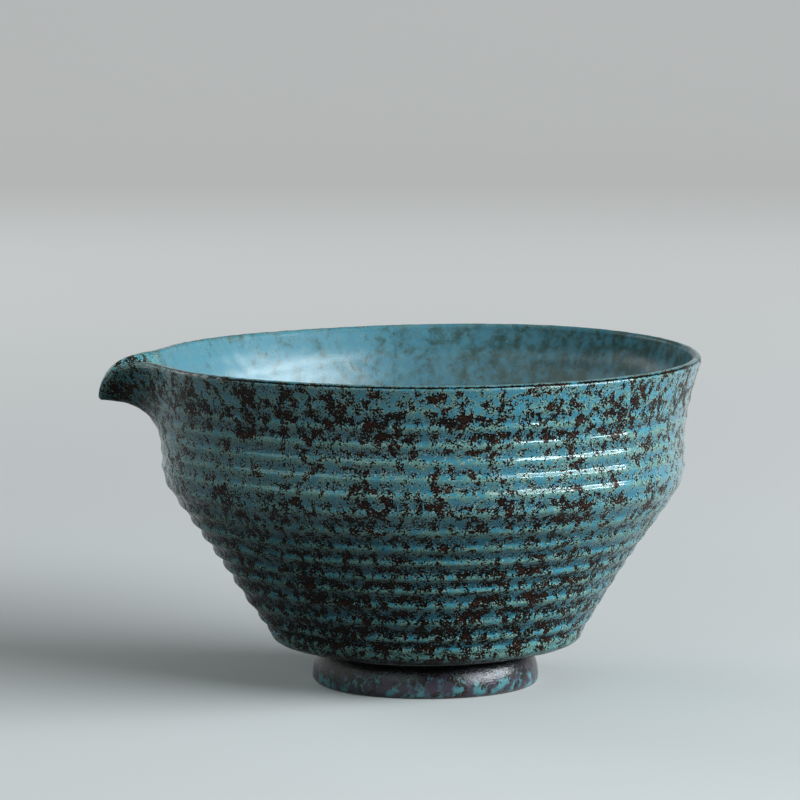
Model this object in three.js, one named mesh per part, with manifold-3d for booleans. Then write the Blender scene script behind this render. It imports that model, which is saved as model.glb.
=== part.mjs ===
// A spouted pouring bowl of the kind used as a tea pitcher, thrown in stoneware and glazed.
// The potter makes three pieces and lutes them together: the thrown bowl, the spout that fills
// a notch cut in its wall, and the foot ring under its base.
// Millimetres, +Z up. The spout points along -X and the foot ring stands on z = 0.

import * as THREE from 'three';
import { mergeVertices } from 'three/addons/utils/BufferGeometryUtils.js';
import Module from 'manifold-3d';

// Driving dimensions, in millimetres and degrees

const rimHeight = 66.5; // top of the lip above the table
const rimRadius = 56.0; // outside of the lip
const flareDepth = 16.5; // how far below the lip the wall starts to flare
const flarePower = 1.75; // how late the flare opens
const waistRadius = 53.0; // outside of the upright wall
const shoulderHeight = 42.0; // height where the lines of the cone and the upright wall meet
const shoulderRound = 3.5; // how far the rounding of the shoulder reaches up and down
const baseEdgeRadius = 31.3; // outside of the cone at its lower edge
const baseEdgeRise = 2.9; // height of that edge above the top of the foot ring

const lipThickness = 2.0; // thickness of the rounded lip
const wallThickness = 3.1; // horizontal thickness of the upright wall
const coneThickness = 3.9; // horizontal thickness of the cone
const floorThickness = 4.8; // thickness of the bowl over the foot ring
const floorRadius = 20.0; // flat part of the inside floor
const floorCorner = 5.1; // how far the rounded corner inside climbs above the floor

const ringPitch = 3.34; // height from one throwing ring to the next
const ringRelief = 0.36; // how far a ring's crest stands out of its groove
const plainBand = 6.0; // band under the lip with no crest

const footHeight = 7.4; // height of the foot ring
const footRadius = 22.9; // widest outside of the foot ring
const footNeckRadius = 21.9; // outside of the foot ring where it meets the bowl
const footInnerRadius = 17.4; // inside of the foot ring
const footEdge = 1.1; // rounding of the foot ring's lower edges
const footBulgeHeight = 2.6; // height of the widest part of the foot ring
const seatMargin = 1.6; // how far the flat seat under the bowl runs past the foot ring each way
const recessRise = 0.7; // how far the underside rises inside the foot ring

const spoutReach = 10.5; // how far the spout's tip stands out past the lip
const spoutDroop = 8.8; // how far the underside of the tip hangs below the lip
const beakFloor = 2.6; // thickness of the spout's floor at the tip
const spoutDepth = 22.0; // how far below the lip the wall starts to swell into the spout
const spoutSpread = 9.2; // half the spread of the swelling round the bowl, in degrees
const beakSpread = 4.4; // half the spread of the dip in the spout's lip, in degrees
const beakPower = 1.5; // squareness of the dip seen from the front
const channelShare = 0.82; // spread of the channel as a share of the spread outside it
const swellingPower = 2.2; // squareness of the swelling seen from above
const swellingEase = 2.6; // how late the wall swings out on its way up

const notchHalfWidth = 16.0; // half the width of the notch that the spout fills
const notchDepth = 19.0; // how far the notch reaches below the lip
const slipGap = 0.3; // joint filled with slip between the spout and the bowl

const segments = 72; // facets round the bowl
const crowding = 0.6; // how strongly the facets crowd towards the spout, from 0 to 1
const footSegments = 64; // facets round the foot ring
const curveSteps = 4; // straight steps that stand for one curved stretch

// Heights and slopes that follow from them

const { clamp, lerp, radToDeg } = THREE.MathUtils;
const baseEdgeHeight = footHeight + baseEdgeRise;
const floorHeight = footHeight + floorThickness;
const coneSlope = (waistRadius - baseEdgeRadius) / (shoulderHeight - baseEdgeHeight);
const ringCount = Math.floor((rimHeight - plainBand - baseEdgeHeight) / ringPitch) + 1;

function bezier(start, control, end, t) {
  return (1 - t) ** 2 * start + 2 * t * (1 - t) * control + t ** 2 * end;
}

// How far a height lies on the way from low to high, from 0 to 1
function share(height, low, high) {
  return clamp((height - low) / (high - low), 0, 1);
}

// Outside of the bowl without its rings, as a radius for a height: a cone, a quadratic curve
// that is tangent to it and to the upright wall, and the flare on top of both.
function outsideRadius(height) {
  const round = share(height, shoulderHeight - shoulderRound, shoulderHeight + shoulderRound);
  const cone = baseEdgeRadius + (Math.min(height, shoulderHeight - shoulderRound) - baseEdgeHeight) * coneSlope;
  const body = bezier(cone, waistRadius, waistRadius, round);
  const opened = share(height, rimHeight - flareDepth, rimHeight);
  return body + (rimRadius - waistRadius) * opened ** flarePower;
}

// The wall thins from the cone to the upright wall over the shoulder, and again to the lip.
function insideRadius(height) {
  const upright = share(height, shoulderHeight - shoulderRound, shoulderHeight + shoulderRound);
  const wall = lerp(coneThickness, wallThickness, upright);
  return outsideRadius(height) - lerp(wall, lipThickness, share(height, rimHeight - flareDepth, rimHeight));
}

// Cross-section of the bowl, from the middle of its underside round the lip to the middle of
// its floor. Each point has a radius, a height and an inward share, which is 0 on the outside,
// 1 on the inside and between them over the lip.

function point(radius, height, inward = 0) {
  return { radius, height, inward };
}

function underside() {
  const inner = footInnerRadius - seatMargin;
  const outer = footRadius + seatMargin;
  const edge = outsideRadius(baseEdgeHeight) + ringRelief / 2;
  const recess = footHeight + recessRise;
  const points = [point(0, recess), point(inner - recessRise, recess), point(inner, footHeight), point(outer, footHeight)];
  for (let i = 1; i < curveSteps; i++) {
    const t = i / curveSteps;
    points.push(point(bezier(outer, edge, edge, t), bezier(footHeight, recess, baseEdgeHeight, t)));
  }
  return points;
}

function rings() {
  const points = [];
  for (let i = 0; i < ringCount; i++) {
    const crest = baseEdgeHeight + i * ringPitch;
    const groove = crest + ringPitch / 2;
    points.push(point(outsideRadius(crest) + ringRelief / 2, crest));
    points.push(point(outsideRadius(groove) - ringRelief / 2, groove));
  }
  return points;
}

function lip() {
  const half = lipThickness / 2;
  const points = [];
  for (let i = 0; i <= curveSteps; i++) {
    const turn = (Math.PI * i) / curveSteps;
    const radius = rimRadius - half + half * Math.cos(turn);
    points.push(point(radius, rimHeight - half + half * Math.sin(turn), i / curveSteps));
  }
  return points;
}

function inside() {
  const points = [];
  const steps = 3 * curveSteps;
  const cornerTop = floorHeight + floorCorner;
  for (let i = 1; i <= steps; i++) {
    const height = lerp(rimHeight - lipThickness, cornerTop, i / steps);
    points.push(point(insideRadius(height), height, 1));
  }
  const corner = insideRadius(floorHeight);
  for (let i = 1; i <= curveSteps; i++) {
    const t = i / curveSteps;
    const radius = bezier(insideRadius(cornerTop), corner, floorRadius, t);
    points.push(point(radius, bezier(cornerTop, floorHeight, floorHeight, t), 1));
  }
  points.push(point(0, floorHeight, 1));
  return points;
}

// The spout is drawn out of the wall: above its start the wall swings out along -X and its lip
// dips at the middle, both by a bell curve round the bowl. The inside dips less and over a
// narrower spread, which leaves the spout its floor and its sides. The angle is 0 at the spout.

function bell(degrees, spread, power) {
  return Math.exp(-(Math.abs(degrees / spread) ** power));
}

function drawSpout(angle, section) {
  const swing = share(section.height, rimHeight - spoutDepth, rimHeight) ** swellingEase;
  const narrowing = lerp(1, channelShare, section.inward);
  const droop = spoutDroop - beakFloor * section.inward;
  const degrees = radToDeg(angle);
  const out = spoutReach * swing * bell(degrees, spoutSpread * narrowing, swellingPower);
  const down = droop * swing * bell(degrees, beakSpread * narrowing, beakPower);
  return [-section.radius * Math.cos(angle) - out, -section.radius * Math.sin(angle), section.height - down];
}

// The whole pot in one shell, before the notch is cut. Its facets are narrow at the spout and
// wide opposite it.
function shellGeometry() {
  const sections = [...underside(), ...rings(), ...lip(), ...inside()];
  const outline = sections.map((section) => new THREE.Vector2(section.radius, section.height));
  const geometry = new THREE.LatheGeometry(outline, segments);
  const position = geometry.attributes.position;
  for (let i = 0; i < position.count; i++) {
    const turn = (2 * Math.PI * Math.floor(i / sections.length)) / segments - Math.PI;
    position.setXYZ(i, ...drawSpout(turn - crowding * Math.sin(turn), sections[i % sections.length]));
  }
  return geometry;
}

// The notch is a U seen along X, cut through the wall on the spout's side only.
function notchGeometry(gap) {
  const half = notchHalfWidth + gap;
  const top = rimHeight + half;
  const middle = rimHeight - notchDepth + notchHalfWidth;
  const depth = rimRadius + spoutReach;
  const outline = new THREE.Shape();
  outline.moveTo(half, top);
  outline.lineTo(-half, top);
  outline.lineTo(-half, middle);
  outline.absarc(0, middle, half, Math.PI, 2 * Math.PI, false);
  const geometry = new THREE.ExtrudeGeometry(outline, { depth, bevelEnabled: false, curveSegments: 5 * curveSteps });
  const across = new THREE.Vector3(0, 1, 0);
  const up = new THREE.Vector3(0, 0, 1);
  const along = new THREE.Vector3(1, 0, 0);
  geometry.applyMatrix4(new THREE.Matrix4().makeBasis(across, up, along));
  geometry.translate(-depth - notchHalfWidth, 0, 0);
  return geometry;
}

// The foot ring leans in to its neck under the bowl and stands on a flat face between two
// rounded edges.
function footGeometry() {
  const outline = new THREE.Path();
  outline.moveTo(footInnerRadius, footHeight);
  outline.lineTo(footInnerRadius, footEdge);
  outline.quadraticCurveTo(footInnerRadius, 0, footInnerRadius + footEdge, 0);
  outline.lineTo(footRadius - footEdge, 0);
  outline.quadraticCurveTo(footRadius, 0, footRadius, footBulgeHeight);
  outline.quadraticCurveTo(footRadius, (footBulgeHeight + footHeight) / 2, footNeckRadius, footHeight);
  const points = outline.getPoints(curveSteps);
  points.push(points[0].clone());
  return new THREE.LatheGeometry(points, footSegments).rotateX(Math.PI / 2);
}

// Solids for cutting and joining

const wasm = await Module();
wasm.setup();

// A closed mesh as a solid: only its places are kept, its shared corners are merged, and the
// triangles that shrink to a line where an outline meets the axis are left out.
function solid(geometry) {
  geometry.deleteAttribute('normal');
  geometry.deleteAttribute('uv');
  const merged = mergeVertices(geometry);
  const corners = merged.index.array;
  const kept = [];
  for (let i = 0; i < corners.length; i += 3) {
    const [a, b, c] = corners.slice(i, i + 3);
    if (a !== b && b !== c && c !== a) kept.push(a, b, c);
  }
  const vertProperties = new Float32Array(merged.attributes.position.array);
  return new wasm.Manifold(new wasm.Mesh({ numProp: 3, vertProperties, triVerts: new Uint32Array(kept) }));
}

function geometryOf(manifold) {
  const mesh = manifold.getMesh();
  const geometry = new THREE.BufferGeometry();
  geometry.setAttribute('position', new THREE.BufferAttribute(mesh.vertProperties, 3));
  geometry.setIndex(new THREE.BufferAttribute(mesh.triVerts, 1));
  geometry.computeVertexNormals();
  return geometry;
}

// The three pieces: the shell outside the notch, the shell inside it, and the foot ring

const shell = solid(shellGeometry());
const bowl = geometryOf(shell.subtract(solid(notchGeometry(slipGap))));
const spout = geometryOf(shell.intersect(solid(notchGeometry(0))));

function piece(name, geometry, color, roughness) {
  const mesh = new THREE.Mesh(geometry, new THREE.MeshStandardMaterial({ color, roughness, metalness: 0 }));
  mesh.name = name;
  return mesh;
}

const pitcher = new THREE.Group();
pitcher.add(
  piece('bowl', bowl, 0x4a8ca0, 0.35),
  piece('spout', spout, 0x4c8794, 0.35),
  piece('foot_ring', footGeometry(), 0x5d6f80, 0.4),
);

// The origin is the middle of the bounding box, at table height.
const bounds = new THREE.Box3().setFromObject(pitcher);
pitcher.position.x = -(bounds.min.x + bounds.max.x) / 2;

export default pitcher;
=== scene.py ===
"""The looks of a spouted tea pitcher: thrown stoneware in a speckled turquoise glaze, on a pale floor.

Lengths are metres, +Z is up and the spout points along -X, as in the construction model. The skin of the
pot is one surface of two parameters, rows along its cross-section and columns round its axis, and the bowl
and the spout are cut out of that surface along the notch that the spout fills.
"""

import math
from typing import NamedTuple

import bpy
import numpy as np
from bpy.props import FloatProperty, FloatVectorProperty, IntProperty, PointerProperty
from bpy.types import Operator, Panel, PropertyGroup
from mathutils import Matrix, Vector


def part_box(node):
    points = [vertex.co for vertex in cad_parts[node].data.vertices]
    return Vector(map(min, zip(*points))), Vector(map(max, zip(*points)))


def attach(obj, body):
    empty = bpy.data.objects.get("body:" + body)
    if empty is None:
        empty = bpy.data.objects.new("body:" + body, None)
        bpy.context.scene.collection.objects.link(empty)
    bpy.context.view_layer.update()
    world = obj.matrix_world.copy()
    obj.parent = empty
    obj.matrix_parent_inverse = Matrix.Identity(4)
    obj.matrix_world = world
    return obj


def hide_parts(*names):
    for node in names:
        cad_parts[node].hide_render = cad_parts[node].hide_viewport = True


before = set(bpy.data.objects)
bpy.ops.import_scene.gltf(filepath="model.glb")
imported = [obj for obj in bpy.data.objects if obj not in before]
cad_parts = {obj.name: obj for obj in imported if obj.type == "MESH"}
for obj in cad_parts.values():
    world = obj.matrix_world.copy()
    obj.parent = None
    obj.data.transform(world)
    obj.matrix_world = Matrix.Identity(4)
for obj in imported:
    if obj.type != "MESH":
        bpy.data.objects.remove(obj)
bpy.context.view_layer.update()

bl_info = {
    "name": "Speckled tea pitcher",
    "version": (1, 0, 0),
    "blender": (4, 5, 0),
    "location": "View3D > Sidebar > Pitcher",
    "description": "Builds a thrown and glazed tea pitcher with a beak spout, and the studio round it",
    "category": "Object",
}

bowl_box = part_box("bowl")
foot_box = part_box("foot_ring")
AXIS = (foot_box[0].x + foot_box[1].x) / 2

# Seeds of the random waves
WALL_SEED = 3
RING_SEED = 5
LUMP_SEED = 7
FOOT_SEED = 11

# How far the grid is bent to the notch, in halves of the spout's patch from its middle
BEND_END = 2.2

# Lines along the lip: middle and half the spread, as shares of the way over it from outside to inside, and
# for the painted highlight, a pale line under its outer edge, as a drop below the top and up to a share of
# that way
THIN_BAND = 0.47, 0.15
DARK_BAND = 0.22, 0.09
PAINTED_HIGHLIGHT_LINE = 0.00085, 0.00024
PAINTED_HIGHLIGHT_LINE_END = 0.3


def size(name, description, default):
    """A length that a user can change."""
    return FloatProperty(
        name=name, description=description, default=default, min=0, precision=5, unit="LENGTH"
    )


def number(name, description, default):
    """A plain number that a user can change."""
    return FloatProperty(name=name, description=description, default=default, precision=3)


def whole(name, description, default, low):
    """A whole number that a user can change, no smaller than low."""
    return IntProperty(name=name, description=description, default=default, min=low)


def turn(name, description, degrees):
    """An angle that a user can change."""
    return FloatProperty(name=name, description=description, default=math.radians(degrees), subtype="ANGLE")


def colour(name, description, default):
    """A colour that a user can change, as linear red, green and blue."""
    return FloatVectorProperty(
        name=name, description=description, default=default, size=3, min=0, max=1, subtype="COLOR"
    )


class PotShape(PropertyGroup):
    """Sizes of the thrown pot."""

    rim_height: size("Rim height", "Top of the lip above the table", bowl_box[1].z)
    rim_radius: size("Rim radius", "Outside of the lip", bowl_box[1].y)
    flare_depth: size("Flare depth", "How far below the lip the wall starts to flare", 0.0165)
    flare_power: number("Flare power", "How late the flare opens", 1.75)
    waist_radius: size("Waist radius", "Outside of the upright wall", 0.053)
    shoulder_height: size("Shoulder height", "Where the lines of the cone and the upright wall meet", 0.042)
    shoulder_round: size("Shoulder rounding", "How far the rounding reaches up and down", 0.0030)
    base_edge_radius: size("Base edge radius", "Outside of the cone at its lower edge", 0.0315)
    base_edge_rise: size("Base edge rise", "Height of that edge above the foot ring", 0.0029)
    lip_thickness: size("Lip thickness", "Thickness of the rounded lip", 0.002)
    wall_thickness: size("Wall thickness", "Thickness of the upright wall", 0.0031)
    cone_thickness: size("Cone thickness", "Thickness of the cone", 0.0039)
    floor_thickness: size("Floor thickness", "Thickness of the bowl over the foot ring", 0.0048)
    floor_radius: size("Floor radius", "Flat part of the inside floor", 0.02)
    floor_corner: size("Floor corner", "How far the rounded corner inside climbs", 0.0051)
    ring_crests: FloatVectorProperty(
        name="Ring crests",
        description="Height of each throwing ring's crest",
        default=(
            0.0112, 0.0136, 0.0173, 0.0210, 0.0243, 0.0271, 0.0304, 0.0334,
            0.0370, 0.0410, 0.0447, 0.0479, 0.0511, 0.0544, 0.0580, 0.0611,
        ),
        size=16,
        precision=4,
        unit="LENGTH",
    )
    ring_strengths: FloatVectorProperty(
        name="Ring strengths",
        description="How strong each throwing ring is, from the lowest up",
        default=(2.4, 2.4, 2.0, 2.1, 2.2, 2.3, 2.2, 2.1, 1.8, 1.3, 1.4, 1.4, 1.4, 1.6, 1.8, 0.6),
        size=16,
        precision=2,
    )
    lip_strength: number("Lip ring strength", "How strong a ring the lip itself is", 0.35)
    cone_sag: size("Cone sag", "How far the middle of the cone sags inwards", 0.00045)
    cone_sag_spread: size("Cone sag spread", "Half the height over which it sags", 0.0075)
    ring_relief: size("Ring relief", "How far a crest stands out of its groove", 0.00026)
    ring_sharpness: number("Ring sharpness", "1 is a round ring, more makes a narrower crest", 1.9)
    ring_drift: number("Ring drift", "How unevenly a ring stands out along its way round", 0.12)
    ring_drift_length: size("Ring drift length", "Length of a wave of the ring drift", 0.018)
    spout_calm: number("Spout calm", "How much weaker the rings are by the spout, from 0 to 1", 0.75)
    back_calm: number("Back calm", "How much weaker the rings are at the back, from 0 to 1", 0.55)
    back_spread: turn("Back spread", "Half the spread of the weaker rings at the back", 38)
    inner_ripple: size("Inner ripple", "Height of the soft rings inside", 0.00010)
    inner_pitch: size("Inner pitch", "Height from one soft ring inside to the next", 0.0058)
    inner_drift: number("Inner drift", "How far the rings inside wander up and down, in radians", 0.8)
    wobble: size("Wobble", "How far the hand-thrown wall strays from a true circle", 0.00014)
    wobble_length: size("Wobble length", "Length of a wave of the wobble", 0.040)
    lean: size("Lean", "How far the foot stands off the lip's axis, away from the spout", 0.00050)
    lean_low: size("Lean low", "Height up to which the pot leans in full", 0.009)
    lean_high: size("Lean high", "Height where the lean has gone", 0.020)
    rim_rise: size("Rim rise", "How much higher the lip stands at its highest point", 0.0013)
    rim_rise_at: turn("Rim rise direction", "Where that is, from the spout round past the back", -128)
    rim_rise_spread: turn("Rim rise spread", "Half the spread of that rise", 52)
    lumps: size("Lumps", "Height of the small unevenness of the glaze", 0.000022)
    lump_length: size("Lump length", "Distance from one lump to the next", 0.0032)


class SpoutShape(PropertyGroup):
    """Sizes of the beak, of the notch that it fills and of the calm wall beside it."""

    reach: size("Reach", "How far the tip stands out past the lip", 0.0105)
    droop: size("Droop", "How far the underside of the tip hangs below the lip", 0.0088)
    floor: size("Floor", "Thickness of the spout's floor at the tip", 0.0026)
    depth: size("Depth", "How far below the lip the wall starts to swell", 0.022)
    spread: turn("Spread", "Half the spread of the swelling round the bowl", 9.2)
    beak_spread: turn("Beak spread", "Half the spread of the dip in the lip", 4.4)
    beak_power: number("Beak power", "Squareness of the dip seen from the front", 1.5)
    channel_share: number("Channel share", "Spread of the channel as a share of the spread outside", 0.82)
    swelling_power: number("Swelling power", "Squareness of the swelling seen from above", 2.2)
    swelling_ease: number("Swelling ease", "How late the wall swings out on its way up", 2.6)
    notch_half: size("Notch half width", "Half the width of the notch that the spout fills", 0.016)
    notch_depth: size("Notch depth", "How far the notch reaches below the lip", 0.019)
    calm_spread: number("Calm spread", "Spread of the calm wall by the spout, in spreads of the spout", 2.6)
    calm_drop: size("Calm drop", "How far under the lip that wall is fully calm", 0.012)


class FootShape(PropertyGroup):
    """Sizes of the foot ring."""

    height: size("Height", "Height of the foot ring", foot_box[1].z)
    radius: size("Radius", "Widest outside of the foot ring", foot_box[1].y)
    neck_radius: size("Neck radius", "Outside of the foot ring under the bowl", 0.0216)
    inner_radius: size("Inner radius", "Inside of the foot ring", 0.0174)
    edge: size("Edge", "Rounding of the lower edges", 0.0009)
    bulge_height: size("Bulge height", "Height of the widest part", 0.0014)
    seat_margin: size("Seat margin", "How far the bowl's flat seat runs past the ring", 0.0016)
    recess: size("Recess", "How far the underside rises inside the ring", 0.0007)
    fillet: size("Fillet", "Glaze that fills the corner under the bowl", 0.0009)
    overlap: size("Overlap", "How far the ring reaches into the bowl's seat", 0.0002)
    wobble: size("Wobble", "How far the ring strays from a true circle", 0.00016)
    wobble_length: size("Wobble length", "Length of a wave of the wobble", 0.022)
    bare_full: size("Bare clay", "Height up to which the clay is bare", 0.00012)
    bare_end: size("Glaze start", "Height where the glaze covers the clay", 0.00035)
    teal_full: size("Teal band", "Height up to which the ring has the most teal", 0.0015)
    teal_end: size("Teal band end", "Height where it has the usual teal", 0.0045)
    # The dark band under the bowl is painted shade
    painted_shade_start: size("Dark band start", "Height where the iron under the bowl starts", 0.0040)
    painted_shade_full: size("Dark band", "Height from which there is the most iron", 0.0060)


class MeshDetail(PropertyGroup):
    """How finely the surfaces are divided."""

    columns: whole("Columns", "Columns round the pot, an even number", 360, 24)
    crowding: number("Crowding", "How strongly the columns crowd towards the spout, from 0 to 1", 0.4)
    underside_rows: whole("Underside rows", "Rows across the underside", 14, 4)
    cone_rows: whole("Cone rows", "Rows from the base edge to the notch", 104, 8)
    notch_rows: whole("Notch rows", "Rows from the notch to the lip", 50, 8)
    lip_rows: whole("Lip rows", "Rows over the lip, an even number", 18, 4)
    inner_rows: whole("Inner rows", "Rows inside, below the notch", 28, 4)
    corner_rows: whole("Corner rows", "Rows round the inside corner", 8, 2)
    floor_rows: whole("Floor rows", "Rows across the inside floor", 8, 2)
    foot_columns: whole("Foot columns", "Columns round the foot ring", 288, 24)
    foot_rows: whole("Foot rows", "Rows on each stretch of the foot ring", 14, 2)


class GlazeFlow(PropertyGroup):
    """Where on the pot the iron gathers and the glaze shines or runs thin, and where painted shade and
    painted highlights go into its colour.
    """

    ring_limit: number("Ring limit", "Strength up to which a ring moves the glaze", 2.0)
    iron_level: number("Iron level", "Share of a ring's height under which iron gathers", 0.6)
    # Below this share of a ring's height the glaze turns darker: thick glaze in the grooves, and painted
    # shade there too
    groove_pool_and_shade_level: number("Pool level", "Share of a ring's height under which glaze pools", 0.4)
    groove_iron: number("Groove iron", "More iron in the grooves of the rings", 0.045)
    band_iron: number("Band iron", "More iron in the band under the lip", 0.12)
    band_drop: size("Band drop", "How far under the lip the middle of that band lies", 0.0065)
    band_spread: size("Band spread", "Half the height of that band", 0.0050)
    shoulder_iron: number("Shoulder iron", "More iron on the shoulder", 0.05)
    shoulder_drop: size("Shoulder drop", "How far under the shoulder it has the most", 0.0010)
    shoulder_spread: size("Shoulder spread", "Half the height of that band", 0.0040)
    # More iron on the cone: real iron, and also painted shade of the cone that faces down, most on its
    # shaded front-left side
    cone_iron_and_shade: number("Cone iron", "More iron on the cone", 0.094)
    cone_shade_swing: number("Cone swing", "How much more on one side of the cone", 0.06)
    shaded_cone_side: turn("Cone side", "Where that side is, from the spout", 45)
    cone_full: size("Cone full", "Height up to which the cone has the most iron", 0.016)
    cone_past: size("Cone past", "How far past the shoulder's height that ends", 0.006)
    spout_iron: number("Spout iron", "Less iron on the wall by the spout", 0.01)
    inner_iron: number("Inner iron", "Less iron inside", 0.10)
    beak_iron: number("Beak iron", "More iron in the beak's channel", 0.24)
    beak_spread: number("Beak spread", "Spread of that iron as a share of the spout's spread", 1.2)
    beak_low: size("Beak low", "How far under the lip that iron starts", 0.0065)
    beak_high: size("Beak high", "How far under the lip it is full", 0.0020)
    beak_cover: number("Beak cover", "How far the outer glaze covers the beak's channel", 0.95)
    sheen_start: size("Sheen start", "How far under the lip the soft sheen inside starts", 0.0030)
    sheen_full: size("Sheen full", "How far under the lip that sheen is full", 0.0065)
    cone_gloss: number("Cone gloss", "Gloss of the cone as a share of the wall's", 0.25)
    gloss_low: size("Gloss low", "Height up to which the cone's gloss reaches", 0.034)
    gloss_high: size("Gloss high", "Height from which the gloss is full", 0.045)
    spout_gloss: number("Spout gloss", "How much less gloss there is by the spout", 0.7)
    inner_gloss: number("Inner gloss", "Gloss inside, where the sheen has not started", 0.05)
    # The lip by the spout is a painted highlight: paler thin glaze there, with the dark line taken off
    lip_highlight_spread: turn("Worn spread", "Half the spread of the worn lip round the spout", 26)
    lip_highlight_gain: number("Worn thin", "How much thinner the glaze is on the worn lip", 0.6)
    lip_highlight_edge_cut: number("Worn edge", "How much of the lip's dark line is worn off there", 0.9)


class GlazeLook(PropertyGroup):
    """Colours, scale and gloss of the glaze."""

    blue: colour("Blue", "Clear glaze", (0.050, 0.285, 0.405))
    teal: colour("Teal", "The glaze at its usual thickness", (0.084, 0.280, 0.300))
    # The groove colour is thick glaze and also painted shade in the grooves
    pool: colour("Pool", "Thick glaze in the grooves", (0.012, 0.072, 0.096))
    sage: colour("Sage", "The halo round the iron spots", (0.158, 0.330, 0.280))
    fleck: colour("Fleck", "Pale flecks among the iron spots", (0.410, 0.540, 0.490))
    inner: colour("Inner glaze", "The smooth glaze inside", (0.105, 0.270, 0.345))
    # This colour is iron run through the glaze, and also painted shade inside on the side away from the
    # spout
    smudge_and_shade: colour("Smudge", "Iron that has run through the glaze inside", (0.030, 0.062, 0.054))
    iron: colour("Iron", "The iron spots", (0.003, 0.0022, 0.002))
    rust: colour("Rust", "The middle of large iron spots", (0.042, 0.013, 0.007))
    thin: colour("Thin glaze", "Where the glaze runs thin on the lip", (0.290, 0.330, 0.310))
    violet: colour("Violet", "The iron glaze on the foot", (0.046, 0.036, 0.058))
    clay: colour("Clay", "Bare clay on the standing face", (0.210, 0.130, 0.085))
    drift: size("Drift", "Size of the areas with more and fewer spots", 0.0058)
    cluster: size("Cluster", "Size of a cluster of spots", 0.0018)
    mottle: size("Mottle", "Size of the patches of one colour", 0.0019)
    spacing: size("Spacing", "Distance from one speck to the next", 0.00056)
    grain: size("Grain", "Size of the unevenness of a spot's edge", 0.00040)
    fine: size("Fine grain", "Size of the pale flecks", 0.00032)
    streak: size("Streak", "Width of the streaks of iron inside", 0.0034)
    relief: size("Relief", "How far the spots stand out of the glaze", 0.00018)
    groove_pool_and_shade_depth: number("Pool depth", "How far the grooves take the pool's colour, from 0 to 1", 0.60)
    fleck_depth: number("Fleck depth", "How far the flecks take their colour, from 0 to 1", 0.7)
    inner_depth: number("Inner depth", "How far the inside takes its own colour, from 0 to 1", 0.85)
    inner_spots: number("Inner spots", "How far the spots show inside, from 0 to 1", 0.16)
    roughness: number("Roughness", "Roughness under the clear coat", 0.22)
    coat_roughness: number("Coat roughness", "Roughness of the clear coat", 0.10)
    coat_ior: number("Coat index", "Index of refraction of the clear coat", 1.42)
    spot_coat: number("Spot coat", "How much less clear coat there is on a spot, from 0 to 1", 0.87)
    inner_roughness: number("Inner roughness", "Roughness of the soft sheen inside", 0.36)
    shine: number("Shine", "Specular level under the clear coat", 0.05)
    inner_shine: number("Inner shine", "Specular level inside", 0.75)
    foot_shine: number("Foot shine", "Specular level of the foot", 0.50)


class StageSettings(PropertyGroup):
    """The camera, the lamps and the floor."""

    camera_distance: size("Camera distance", "Level distance from the pot's axis to the camera", 0.905)
    camera_height: size("Camera height", "Height of the camera above the table", 0.1627)
    camera_turn: turn("Camera turn", "How far round towards the spout the camera stands", 3.0)
    camera_pitch: turn("Camera pitch", "How far the camera looks down", 6.64)
    camera_yaw: turn("Camera yaw", "How far the camera looks past the axis, towards the spout", 0.306)
    lens: number("Lens", "Focal length in millimetres on a 36 mm sensor", 202.5)
    window_power: number("Window power", "Watts of the wide window on the right", 15.6)
    sky_power: number("Sky power", "Watts of the high soft lamp on the right", 11.8)
    fill_power: number("Fill power", "Watts of the weaker window on the left", 3.2)
    back_power: number("Back power", "Watts of the soft window behind on the left", 3.6)
    top_power: number("Top power", "Watts of the soft lamp overhead", 1.0)
    aim_share: number("Aim", "Height that the lamps point at, as a share of the pot's", 0.6)
    ambient: number("Ambient", "Strength of the light from all round", 0.04)
    floor_seen: colour("Floor", "Colour of the floor where lamps light it", (0.80, 0.80, 0.795))
    floor_glow: colour("Floor glow", "Colour that the far floor shows without any lamp", (0.30, 0.30, 0.298))
    floor_near: size("Near floor", "How far round the pot the floor has no glow", 0.05)
    floor_far: size("Far floor", "How far from the pot the glow is full", 1.2)
    floor_cast: colour("Floor bounce", "Colour of the light that the floor returns", (0.03, 0.028, 0.026))
    floor_flat: size("Flat floor", "Radius of the flat part of the floor", 1.5)
    floor_curve: size("Floor curve", "How far out the floor curves up past that", 1.0)
    floor_wall: size("Floor wall", "How high the floor's rim stands", 0.9)


# Arithmetic of the surfaces


def share(value, low, high):
    """How far a value lies on the way from low to high, from 0 to 1."""
    return np.clip((value - low) / (high - low), 0, 1)


def lerp(start, end, t):
    """The value at share t of the way from start to end."""
    return start + (end - start) * t


def smooth(t):
    """The smooth step 3t^2 - 2t^3 of a share."""
    return t * t * (3 - 2 * t)


def bezier(start, control, end, t):
    """The quadratic curve (1 - t)^2 start + 2t(1 - t) control + t^2 end."""
    return (1 - t) ** 2 * start + 2 * t * (1 - t) * control + t**2 * end


def bell(angle, spread, power):
    """The bell curve exp(-|angle / spread|^power)."""
    return np.exp(-(np.abs(angle / spread) ** power))


def steps(start, end, count):
    """Values from just past start up to and including end."""
    return np.linspace(start, end, count + 1)[1:]


def waves(points, length, seed, count=40):
    """Smooth random bumps with a mean square of 1: the sum of sine waves in random directions.

    Each wave is sin(2 pi p . d / l + f), with a random direction d and phase f, and a length l of 0.75 to
    1.35 times the length asked for.
    """
    rng = np.random.default_rng(seed)
    direction = rng.normal(size=(3, count))
    direction /= np.linalg.norm(direction, axis=0)
    lengths = length * rng.uniform(0.75, 1.35, count)
    phase = rng.uniform(0, 2 * math.pi, count)
    return np.sin(points @ (2 * math.pi * direction / lengths) + phase).sum(-1) * math.sqrt(2 / count)


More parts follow.
